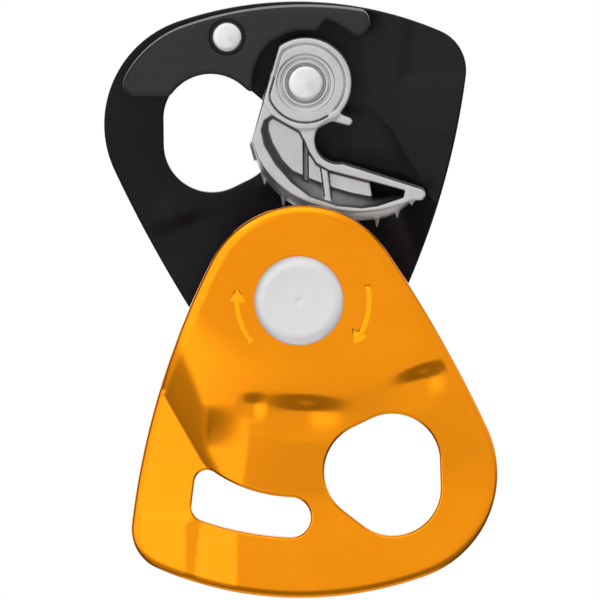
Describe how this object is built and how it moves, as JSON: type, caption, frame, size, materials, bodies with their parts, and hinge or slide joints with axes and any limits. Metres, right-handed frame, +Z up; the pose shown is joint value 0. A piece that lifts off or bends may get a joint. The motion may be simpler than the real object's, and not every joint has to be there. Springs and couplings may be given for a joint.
{
  "type": "progress-capture rope pulley",
  "caption": "Compact rope pulley with a toothed sprung cam above the sheave and a swinging front side plate, shown open and hanging from its attachment hole.",
  "frame": {"origin": "centre of the back plate's attachment hole, midway between the two side plates", "axes": "+Z up when the pulley hangs from its attachment hole, +X to the right seen from the front, +Y from the front plate to the back plate along the sheave axle"},
  "size_m": [0.0653, 0.0221, 0.0984],
  "materials": {
    "black_anodised": "satin black anodised",
    "orange_anodised": "glossy orange anodised, faintly brushed",
    "steel": "turned stainless",
    "cast_steel": "cast and tumbled stainless",
    "bearing_steel": "ground and polished",
    "cage_brass": "pressed",
    "seal_rubber": "matt",
    "sheave_aluminium": "turned and hard anodised",
    "black_nylon": "moulded glass-filled nylon",
    "white_plastic": "plain acetal"
  },
  "bodies": {
    "frame": {"back_plate": "black_anodised", "main_axle": "steel", "front_sleeve": "steel", "rear_sleeve": "steel", "friction_washer": "steel", "front_thrust_washer": "white_plastic", "rear_thrust_washer": "white_plastic", "bearing_inner_race": "bearing_steel", "catch_spacer": "black_nylon", "spacer_rivet": "steel", "cam_axle": "steel", "cam_washer": "steel", "cam_spring": "steel"},
    "front_plate": {"front_plate": "orange_anodised", "front_plate_bush": "black_nylon"},
    "sheave": {"sheave": "sheave_aluminium", "bearing_outer_race": "bearing_steel", "bearing_front_seal": "seal_rubber", "bearing_rear_seal": "seal_rubber"},
    "bearing_cage": {"bearing_cage": "cage_brass", "bearing_balls": "bearing_steel"},
    "cam": {"cam": "cast_steel"}
  },
  "joints": [
    {"name": "plate_swing", "type": "hinge", "parent": "frame", "child": "front_plate", "pos_m": [0.0132, 0, -0.027], "axis": [0, 1, 0], "range_deg": [-180, 60]},
    {"name": "cam_pivot", "type": "hinge", "parent": "frame", "child": "cam", "pos_m": [0.0143, 0, 0.0086], "axis": [0, 1, 0], "range_deg": [-108, 0], "stiffness_Nm_per_rad": 0.01, "springref_deg": 57.3},
    {"name": "sheave_spin", "type": "hinge", "parent": "frame", "child": "sheave", "pos_m": [0.0132, 0, -0.027], "axis": [0, 1, 0], "continuous": true},
    {"name": "cage_spin", "type": "hinge", "parent": "frame", "child": "bearing_cage", "pos_m": [0.0132, 0, -0.027], "axis": [0, 1, 0], "continuous": true}
  ],
  "couplings": [
    {"joint": "cage_spin", "follows": "sheave_spin", "ratio": 0.605}
  ]
}
